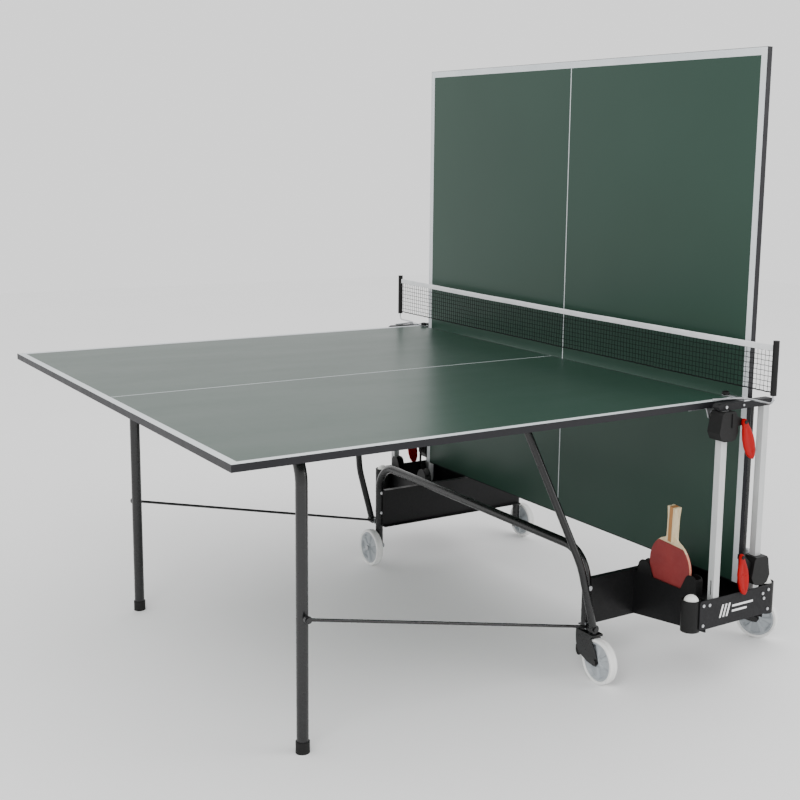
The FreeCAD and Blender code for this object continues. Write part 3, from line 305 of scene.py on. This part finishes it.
def woven(name, a, b_, scale, rlo, rhi, strength, sheen):
    m, nt, b = new_mat(name)
    v = coords(nt)
    wave = []
    for d in ("Y", "Z"):
        w = nt.nodes.new("ShaderNodeTexWave")
        w.wave_type = "BANDS"
        w.bands_direction = d
        w.inputs["Scale"].default_value = scale
        w.inputs["Distortion"].default_value = 0.6
        nt.links.new(v, w.inputs["Vector"])
        wave.append(w.outputs["Fac"])
    mx = nt.nodes.new("ShaderNodeMath")
    mx.operation = "MAXIMUM"
    nt.links.new(wave[0], mx.inputs[0])
    nt.links.new(wave[1], mx.inputs[1])
    big = noise(nt, v, 18.0, 4.0)
    col = ramp(nt, big, [(0.3, a), (0.7, b_)])
    nt.links.new(col, b.inputs["Base Color"])
    nt.links.new(maprange(nt, mx.outputs[0], 0.0, 1.0, rhi, rlo), b.inputs["Roughness"])
    b.inputs["Sheen Weight"].default_value = sheen
    b.inputs["Sheen Roughness"].default_value = 0.5
    b.inputs["Specular IOR Level"].default_value = 0.12
    bump(nt, b, mx.outputs[0], strength, 0.0004)
    return m


M["net_tape"] = woven("net_tape_cotton", (0.66, 0.68, 0.69), (0.78, 0.79, 0.80), 260.0, 0.72, 0.9, 0.5, 0.25)
M["net_fabric"] = woven("net_yarn", (0.0040, 0.0042, 0.0044), (0.0080, 0.0083, 0.0086), 700.0, 0.7, 0.9, 0.4, 0.0)

SLOT = {s["node"]: s["material_slot"] for s in frame["record"]["subparts"]}
for name, obj in NODES.items():
    mat = M[SLOT[name]]
    if not obj.material_slots:
        obj.data.materials.append(mat)
    for ms in obj.material_slots:
        ms.material = mat

# soft broken edges on the moulded and pressed CAD parts
BEVEL = {"edge_band_a": 0.0012, "edge_band_b": 0.0012, "bridge_near": 0.0016, "bridge_far": 0.0016, "end_plate_near": 0.0006, "end_plate_far": 0.0006,
         "guide_posts": 0.0014, "storage_box_near": 0.0006, "storage_box_far": 0.0006, "bat_holders": 0.0014, "slider_a": 0.0022, "slider_b": 0.0022,
         "castor_fork_a": 0.0012, "castor_fork_b": 0.0012, "brake_pedal_a": 0.0010, "brake_pedal_b": 0.0010, "hinge_bracket_a": 0.0007,
         "hinge_bracket_b": 0.0007, "frame_bearings_a": 0.0016, "frame_bearings_b": 0.0016, "net_brackets": 0.0007, "chassis_bolts": 0.0008,
         "side_panel_near": 0.0006, "side_panel_far": 0.0006, "ball_holders": 0.0007, "leg_feet_a": 0.0016, "leg_feet_b": 0.0016, "net_posts": 0.0012,
         "castor_hardware_a": 0.0007, "castor_hardware_b": 0.0007, "strut_frame_a": 0.0007, "strut_frame_b": 0.0007,
         "stay_rods_a": 0.0006, "stay_rods_b": 0.0006, "bat_blade": 0.0020, "bat_rubbers": 0.0006}
for name, width in BEVEL.items():
    o = NODES[name]
    md = o.modifiers.new("soft_edges", "BEVEL")
    md.width = width
    md.segments = 2
    md.limit_method = "ANGLE"
    md.angle_limit = math.radians(38)
    md.harden_normals = False
    md.use_clamp_overlap = True


# ------------------------------------------------------------------ mesh helpers
def mesh_obj(name, verts, faces, mat, smooth=True, auto=35):
    me = bpy.data.meshes.new(name)
    me.from_pydata([tuple(v) for v in verts], [], faces)
    me.validate()
    me.update()
    o = bpy.data.objects.new(name, me)
    bpy.context.scene.collection.objects.link(o)
    me.materials.append(mat)
    bm = bmesh.new()
    bm.from_mesh(me)
    bmesh.ops.recalc_face_normals(bm, faces=bm.faces)
    bm.to_mesh(me)
    bm.free()
    if smooth:
        for p in me.polygons:
            p.use_smooth = True
        me.set_sharp_from_angle(angle=math.radians(auto))
    return o


def slab(name, lo, hi, mat, r=0.0, seg=2):
    """Thin rectangular sheet with softened edges."""
    x0, y0, z0 = lo
    x1, y1, z1 = hi
    v = [(x0, y0, z0), (x1, y0, z0), (x1, y1, z0), (x0, y1, z0), (x0, y0, z1), (x1, y0, z1), (x1, y1, z1), (x0, y1, z1)]
    f = [(0, 3, 2, 1), (4, 5, 6, 7), (0, 1, 5, 4), (1, 2, 6, 5), (2, 3, 7, 6), (3, 0, 4, 7)]
    o = mesh_obj(name, v, f, mat, False)
    if r:
        bm = bmesh.new()
        bm.from_mesh(o.data)
        bmesh.ops.bevel(bm, geom=list(bm.edges), offset=r, segments=seg, affect="EDGES", profile=0.6)
        bm.to_mesh(o.data)
        bm.free()
    return o


def join_data(name, objs, mat):
    """Joins several fresh objects into one piece."""
    bm = bmesh.new()
    for o in objs:
        tmp = o.data.copy()
        tmp.transform(o.matrix_world)
        bm.from_mesh(tmp)
        bpy.data.meshes.remove(tmp)
    me = bpy.data.meshes.new(name)
    bm.to_mesh(me)
    bm.free()
    for o in objs:
        bpy.data.objects.remove(o)
    r = bpy.data.objects.new(name, me)
    bpy.context.scene.collection.objects.link(r)
    me.materials.append(mat)
    for p in me.polygons:
        p.use_smooth = True
    me.set_sharp_from_angle(angle=math.radians(35))
    return r


def lathe(name, prof, axis_m, mat, n=72):
    """prof: (radius, height) closed loop turned about local Z, then moved by axis_m."""
    v, f = [], []
    k = len(prof)
    for i in range(n):
        a = 2 * math.pi * i / n
        for r, h in prof:
            v.append(axis_m @ Vector((r * math.cos(a), r * math.sin(a), h)))
    for i in range(n):
        j = (i + 1) % n
        for q in range(k):
            w = (q + 1) % k
            f.append((i * k + q, j * k + q, j * k + w, i * k + w))
    return mesh_obj(name, v, f, mat)


# ------------------------------------------------------------------ painted lines
T = 0.00012
B = 0.020
pieces = []
xo, xi = ALO[0], AHI[0]
yl, yh = ALO[1], AHI[1]
in_ = 0.0010                                     # the paint stops short of the rounded board edge
ln = [slab("l1", (xo + in_, yl + in_, TOP), (xo + B, yh - in_, TOP + T), M["white_paint"]),
      slab("l2", (xo + B, yl + in_, TOP), (xi - 0.0006, yl + B, TOP + T), M["white_paint"]),
      slab("l3", (xo + B, yh - B, TOP), (xi - 0.0006, yh - in_, TOP + T), M["white_paint"]),
      slab("l4", (xo + B, -0.0015, TOP), (xi - 0.0006, 0.0015, TOP + T), M["white_paint"])]
lines_a = join_data("painted_lines_a", ln, M["white_paint"])
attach(lines_a, "half_a")
zi, zo = BLO[2], BHI[2]
X0, X1 = SURF_B - T, SURF_B
ln = [slab("m1", (X0, yl + in_, zo - B), (X1, yh - in_, zo - in_), M["white_paint"]),
      slab("m2", (X0, yl + in_, zi + 0.0006), (X1, yl + B, zo - B), M["white_paint"]),
      slab("m3", (X0, yh - B, zi + 0.0006), (X1, yh - in_, zo - B), M["white_paint"]),
      slab("m4", (X0, -0.0015, zi + 0.0006), (X1, 0.0015, zo - B), M["white_paint"])]
lines_b = join_data("painted_lines_b", ln, M["white_paint"])
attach(lines_b, "half_b")

# ------------------------------------------------------------------ net
(nlo, nhi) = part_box("net_mesh")
(tlo, thi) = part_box("net_tape")
xm = (nlo[0] + nhi[0]) / 2
NY0, NY1 = nlo[1], nhi[1]
NZ0, NZ1 = nlo[2], thi[2]


def sag(y):
    """The tape is tied at the posts and drops a few millimetres in the middle."""
    u = (y - NY0) / (NY1 - NY0)
    return -0.0035 * math.sin(math.pi * u)


def ripple(y, z):
    u = (y - NY0) / (NY1 - NY0)
    k = math.sin(math.pi * u)
    return k * (0.0016 * math.sin(21 * u + 9 * z) + 0.0010 * math.sin(47 * u + 2.0 + 30 * z))


def strand(v, f, pts, r):
    base = len(v)
    n = len(pts)
    for i, p in enumerate(pts):
        a = pts[max(i - 1, 0)]
        b = pts[min(i + 1, n - 1)]
        d = (b - a).normalized()
        s = d.cross(Vector((1, 0, 0))).normalized()
        u = Vector((1, 0, 0))
        for q in range(4):
            an = math.pi / 2 * q
            v.append(p + s * (r * math.cos(an)) + u * (r * math.sin(an)))
    for i in range(n - 1):
        for q in range(4):
            w = (q + 1) % 4
            f.append((base + i * 4 + q, base + i * 4 + w, base + (i + 1) * 4 + w, base + (i + 1) * 4 + q))
    f.append(tuple(base + q for q in (3, 2, 1, 0)))
    f.append(tuple(base + (n - 1) * 4 + q for q in range(4)))


v, f = [], []
cell = 0.0125
cols = int(round((NY1 - NY0) / cell))
rows = int(round((tlo[2] - NZ0) / cell))
for i in range(cols + 1):
    y = NY0 + (NY1 - NY0) * i / cols
    pts = []
    for j in range(rows * 2 + 1):
        z = NZ0 + (tlo[2] + 0.004 - NZ0) * j / (rows * 2)
        wob = 0.0005 * math.sin(i * 2.1 + j * 1.57)
        pts.append(Vector((xm + ripple(y, z) + 0.0004 * math.sin(j * math.pi + i * math.pi), y + wob, z + sag(y) * (z - NZ0) / (NZ1 - NZ0))))
    strand(v, f, pts, 0.00078)
for j in range(rows + 1):
    z = NZ0 + (tlo[2] - NZ0) * j / rows
    pts = []
    for i in range(cols * 2 + 1):
        y = NY0 + (NY1 - NY0) * i / (cols * 2)
        wob = 0.0005 * math.sin(j * 1.7 + i * 1.57)
        pts.append(Vector((xm + ripple(y, z), y, z + wob + sag(y) * (z - NZ0) / (NZ1 - NZ0))))
    strand(v, f, pts, 0.00078 if j else 0.0017)
net = mesh_obj("net_yarn_mesh", v, f, M["net_fabric"], False)
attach(net, "chassis")
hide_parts("net_mesh")

# tape folded over the head cord, with the hem's stitch row
v, f = [], []
prof = []
hw, hz = 0.0021, thi[2] - tlo[2]
for k in range(9):
    a = math.pi * k / 8
    prof.append((-math.cos(a) * hw, hz - hw + math.sin(a) * hw))
prof = [(-hw * 0.75, 0.0), (-hw * 0.86, 0.0030)] + prof + [(hw * 0.86, 0.0030), (hw * 0.75, 0.0)]
inner = [(px * 0.62, max(pz - 0.0006, 0.0) if pz > 0.001 else 0.0) for px, pz in prof]
loop = prof + inner[::-1]
N = 180
for i in range(N + 1):
    y = NY0 + (NY1 - NY0) * i / N
    for px, pz in loop:
        wv = 0.00025 * math.sin(i * 1.9 + pz * 900)
        v.append(Vector((xm + ripple(y, NZ1) * 0.8 + px + wv, y, tlo[2] + pz + sag(y))))
k = len(loop)
for i in range(N):
    for q in range(k):
        w = (q + 1) % k
        f.append((i * k + q, (i + 1) * k + q, (i + 1) * k + w, i * k + w))
f.append(tuple(range(k)))
f.append(tuple(N * k + q for q in range(k - 1, -1, -1)))
tape = mesh_obj("net_head_tape", v, f, M["net_tape"], True, 50)
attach(tape, "chassis")
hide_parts("net_tape")

# ------------------------------------------------------------------ red pull levers
LEAF = [(4.0, 7.0), (8.0, 0.0), (9.5, -12.0), (14.0, -26.0), (18.0, -44.0), (18.5, -64.0), (15.5, -84.0), (9.5, -98.0), (2.0, -104.0)]


def leaf_width(z):
    pts = LEAF
    if z >= pts[0][1]:
        return pts[0][0] * max(0.0, (9.0 - z) / 2.0)
    for (wa, za), (wb, zb) in zip(pts, pts[1:]):
        if zb <= z <= za:
            u = (z - za) / (zb - za)
            u = u * u * (3 - 2 * u) * 0.35 + u * 0.65
            return wa + (wb - wa) * u
    return 0.8


JOINTS = {j["name"]: j for j in frame["record"]["behaviour"]["joints"]}


def lever(name, node, joint, lean, body):
    pos = Vector(JOINTS[joint]["pos_m"])
    lo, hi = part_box(node)
    half = (hi[1] - lo[1]) / 2000.0 * 1000.0
    yc = (lo[1] + hi[1]) / 2
    front = -1.0 if yc < 0 else 1.0
    rot = Matrix.Rotation(math.radians(lean), 3, Vector((0, -1, 0)))
    NZ, NX = 44, 16
    v, f = [], []
    grid = {}
    for side in (0, 1):
        for i in range(NZ + 1):
            z = 7.4 - (7.4 + 103.6) * i / NZ
            w = leaf_width(z)
            for j in range(NX + 1):
                s = -1.0 + 2.0 * j / NX
                x = w * math.sin(s * math.pi / 2)
                dome = math.sqrt(max(0.0, 1 - s * s * 0.97))
                # raised lens on the front with a hollow running down its middle
                body_ = 0.34 + 0.66 * dome
                groove = 0.0
                if -92 < z < -18:
                    t = (z + 55) / 37.0
                    gw = 0.30 * math.sqrt(max(0.0, 1 - t * t))
                    groove = 0.26 * math.exp(-(s / max(gw, 0.08)) ** 2)
                y = front * half * 1000 * (body_ - groove) if side == 0 else -front * half * 1000 * body_ * 0.9
                p = rot @ Vector((x / 1000, 0, z / 1000))
                grid[(side, i, j)] = len(v)
                v.append(Vector((pos.x + p.x, yc + y / 1000, pos.z + p.z)))
    for side in (0, 1):
        for i in range(NZ):
            for j in range(NX):
                a, b, c_, d = grid[(side, i, j)], grid[(side, i, j + 1)], grid[(side, i + 1, j + 1)], grid[(side, i + 1, j)]
                f.append((a, b, c_, d) if side == 0 else (a, d, c_, b))
    for i in range(NZ):
        for j in (0, NX):
            f.append((grid[(0, i, j)], grid[(0, i + 1, j)], grid[(1, i + 1, j)], grid[(1, i, j)]))
    for j in range(NX):
        for i in (0, NZ):
            f.append((grid[(0, i, j)], grid[(0, i, j + 1)], grid[(1, i, j + 1)], grid[(1, i, j)]))
    o = mesh_obj(name, v, f, M["red_plastic"], True, 48)
    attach(o, body)
    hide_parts(node)
    return o


for side in ("near", "far"):
    lever("red_pull_a_" + side, "release_lever_a_" + side, "lever_pull_a_" + side, 19.0, "lever_a_" + side)
    lever("red_pull_b_" + side, "release_lever_b_" + side, "lever_pull_b_" + side, 9.0, "lever_b_" + side)


# ------------------------------------------------------------------ wheels
def wheel_disc(name, node, joint, body):
    """Moulded wheel: rim, hub and six broad webs with hollow pockets between them, on both faces."""
    j = JOINTS[joint]
    ax = Vector(j["axis"]).normalized()
    pos = Vector(j["pos_m"])
    q = Vector((0, 0, 1)).rotation_difference(ax)
    mt = Matrix.Translation(pos) @ q.to_matrix().to_4x4()
    rings = [(0.00508, 0.0130), (0.0100, 0.0130), (0.0118, 0.0122), (0.0125, 0.0095), (0.0150, None), (0.0300, None), (0.0415, None), (0.0448, None), (0.0462, 0.0100),
             (0.0475, 0.0104), (0.0500, 0.0100), (0.0509, 0.0092)]
    n = 96
    v, f = [], []
    for side in (1, -1):
        for i in range(n):
            a = 2 * math.pi * i / n
            ph = (a * 6 / (2 * math.pi)) % 1.0
            d = abs(ph - 0.5) * 2                 # 1 on a web, 0 in the middle of a pocket
            web = 1.0 / (1.0 + math.exp(-(d - 0.62) * 26))
            for r, h in rings:
                if h is None:
                    edge = min(1.0, max(0.0, (r - 0.0125) / 0.004)) * min(1.0, max(0.0, (0.0455 - r) / 0.003))
                    h_ = 0.0092 - 0.0052 * edge * (1 - web)
                else:
                    h_ = h
                v.append(mt @ Vector((r * math.cos(a), r * math.sin(a), side * h_)))
    k = len(rings)
    half = n * k
    for i in range(n):
        jn = (i + 1) % n
        for p in range(k - 1):
            f.append((i * k + p, jn * k + p, jn * k + p + 1, i * k + p + 1))
            f.append((half + i * k + p, half + i * k + p + 1, half + jn * k + p + 1, half + jn * k + p))
        f.append((i * k, half + i * k, half + jn * k, jn * k))
        f.append((i * k + k - 1, jn * k + k - 1, half + jn * k + k - 1, half + i * k + k - 1))
    o = mesh_obj(name, v, f, M["grey_plastic"], True, 40)
    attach(o, body)
    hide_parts(node)
    return mt


def tyre(name, node, mt, body):
    prof = [(0.0511, -0.0095), (0.0520, -0.0108), (0.0560, -0.0119), (0.0585, -0.0112), (0.0597, -0.0085), (0.0600, -0.0050), (0.0600, -0.0024), (0.0594, -0.0015),
            (0.0594, 0.0015), (0.0600, 0.0024), (0.0600, 0.0050), (0.0597, 0.0085), (0.0585, 0.0112), (0.0560, 0.0119), (0.0520, 0.0108), (0.0511, 0.0095)]
    o = lathe(name, prof, mt, M["grey_rubber"], 96)
    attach(o, body)
    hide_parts(node)


for t in ("a", "b"):
    m1 = wheel_disc("wheel_disc_castor_" + t, "castor_wheel_" + t, "castor_roll_" + t, "castor_wheel_" + t)
    tyre("wheel_tyre_castor_" + t, "castor_tyre_" + t, m1, "castor_wheel_" + t)
    m2 = wheel_disc("wheel_disc_fixed_" + t, "fixed_wheel_" + t, "fixed_roll_" + t, "fixed_wheel_" + t)
    tyre("wheel_tyre_fixed_" + t, "fixed_tyre_" + t, m2, "fixed_wheel_" + t)

# ------------------------------------------------------------------ generic print on the end plates
for side in ("near", "far"):
    lo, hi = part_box("end_plate_" + side)
    yf = lo[1] if side == "near" else hi[1]
    out = -1 if side == "near" else 1
    zc = (lo[2] + hi[2]) / 2
    bars = []
    xs = NETX - 0.060
    for i, (w, h) in enumerate(((0.006, 0.034), (0.006, 0.034), (0.006, 0.034))):
        x0 = xs + i * 0.012
        vv = []
        y0, y1 = sorted((yf, yf + out * 0.00012))
        for y in (y0, y1):
            for (dx, dz) in ((0, -h / 2), (w, -h / 2), (w + 0.010, h / 2), (0.010, h / 2)):
                vv.append((x0 + dx, y, zc + dz))
        ff = [(0, 1, 2, 3), (7, 6, 5, 4), (0, 4, 5, 1), (1, 5, 6, 2), (2, 6, 7, 3), (3, 7, 4, 0)]
        bars.append(mesh_obj("bar%d" % i, vv, ff, M["print_white"], False))
    y0, y1 = sorted((yf, yf + out * 0.00012))
    bars.append(slab("rule1", (xs + 0.046, y0, zc + 0.004), (xs + 0.122, y1, zc + 0.0095), M["print_white"]))
    bars.append(slab("rule2", (xs + 0.046, y0, zc - 0.0095), (xs + 0.100, y1, zc - 0.004), M["print_white"]))
    pr = join_data("plate_print_" + side, bars, M["print_white"])
    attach(pr, "chassis")

# ------------------------------------------------------------------ floor, light and camera
fl = slab("floor", (-9.0, -9.0, -0.02), (9.0, 9.0, 0.0), M["white_plastic"])
fm = surface("pale_floor", (0.95, 0.95, 0.95), (0.97, 0.97, 0.97), 0.75, 0.85, blot=1.2, grain=300, gstr=0.03)
fl.data.materials.clear()
fl.data.materials.append(fm)

w = bpy.data.worlds.new("studio")
bpy.context.scene.world = w
w.use_nodes = True
bg = w.node_tree.nodes["Background"]
bg.inputs[0].default_value = (1.0, 1.0, 1.0, 1.0)
bg.inputs[1].default_value = 1.35


def area(name, loc, target, size, power):
    d = bpy.data.lights.new(name, "AREA")
    d.energy = power
    d.shape = "RECTANGLE"
    d.size, d.size_y = size
    o = bpy.data.objects.new(name, d)
    o.location = loc
    o.rotation_euler = (Vector(target) - Vector(loc)).to_track_quat("-Z", "Y").to_euler()
    bpy.context.scene.collection.objects.link(o)
    return o


area("key", (-3.2, -3.4, 4.2), (0.2, 0.0, 0.6), (3.0, 3.0), 130)
area("fill", (3.5, -3.8, 2.6), (0.3, 0.0, 0.5), (2.5, 2.5), 60)

cam = bpy.data.cameras.new("camera")
co = bpy.data.objects.new("camera", cam)
bpy.context.scene.collection.objects.link(co)
cam.sensor_width = 36.0
cam.lens = 56.31
cam.shift_x = -0.0975
cam.shift_y = -0.0338
az, el, roll = math.radians(-34.781), math.radians(9.9353), math.radians(1.1467)
back = Vector((math.sin(az) * math.cos(el), -math.cos(az) * math.cos(el), math.sin(el)))
right = Vector((0, 0, 1)).cross(back).normalized()
up = back.cross(right).normalized()
r2 = right * math.cos(roll) + up * math.sin(roll)
u2 = -right * math.sin(roll) + up * math.cos(roll)
mw = Matrix((r2, u2, back)).transposed().to_4x4()
mw.translation = Vector((NETX - 2.3181, -2.9502, 1.3586))
co.matrix_world = mw
bpy.context.scene.camera = co
